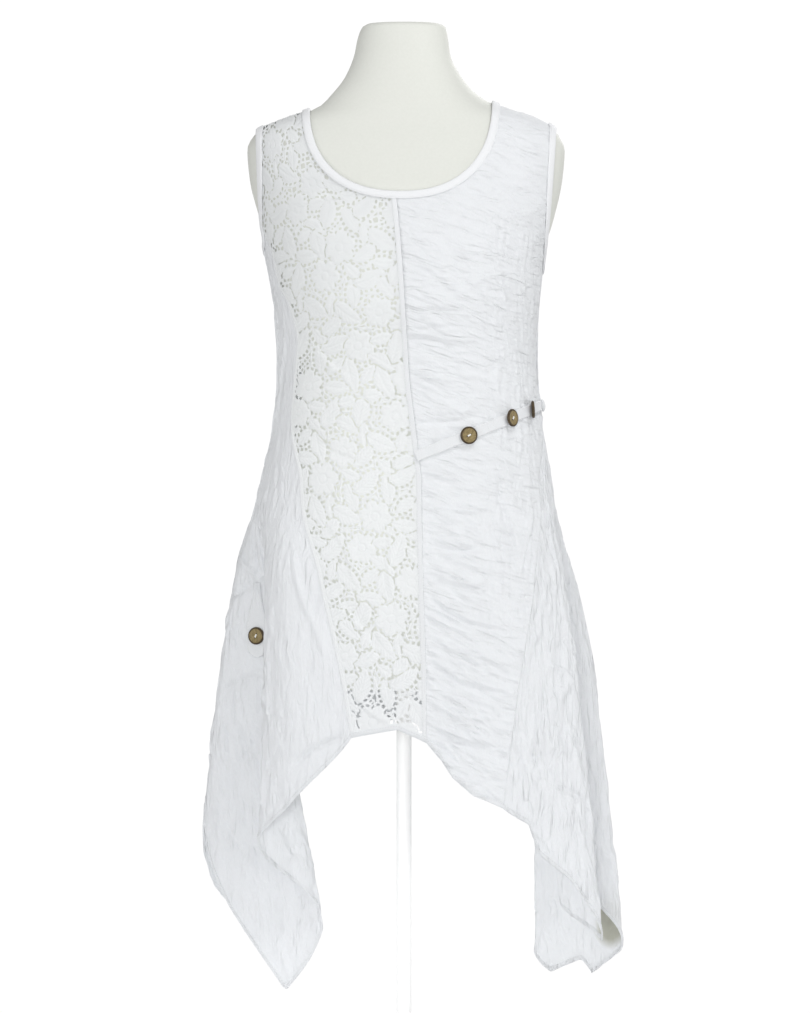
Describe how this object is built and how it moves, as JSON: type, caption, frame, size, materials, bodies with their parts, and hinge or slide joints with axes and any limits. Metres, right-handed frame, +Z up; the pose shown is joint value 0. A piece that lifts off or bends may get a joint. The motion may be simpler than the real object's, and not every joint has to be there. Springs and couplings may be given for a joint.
{
  "type": "tunic top on a limbless dress form",
  "caption": "Sleeveless linen tunic with a lace front panel, buttoned strap and side tab and a long-sided handkerchief hem, worn by a limbless dress form on a stand.",
  "frame": {"origin": "centre of the stand's underside, on the surface it stands on", "axes": "+Z up, the tunic's front faces -Y, +X to the viewer's right from the front"},
  "size_m": [0.5035, 0.3054, 1.231],
  "materials": {
    "lace": "matt white corded cotton lace",
    "crinkled_linen": "matt white crinkled linen",
    "binding": "smooth white cotton tape",
    "coconut_shell": "semi-matt polished coconut shell",
    "form_cover": "matt off-white moulded cover",
    "stand_paint": "satin white paint"
  },
  "bodies": {
    "root": {"front_lace_panel": "lace", "front_crinkle_panel": "crinkled_linen", "left_side_panel": "crinkled_linen", "right_side_panel": "crinkled_linen", "back_panel": "crinkled_linen", "neck_binding": "binding", "armhole_binding_left": "binding", "armhole_binding_right": "binding", "button_strap": "binding", "side_tab": "binding", "button_1": "coconut_shell", "button_2": "coconut_shell", "button_3": "coconut_shell", "button_4": "coconut_shell", "form_torso": "form_cover", "stand_pole": "stand_paint", "stand_base": "stand_paint"}
  },
  "joints": []
}
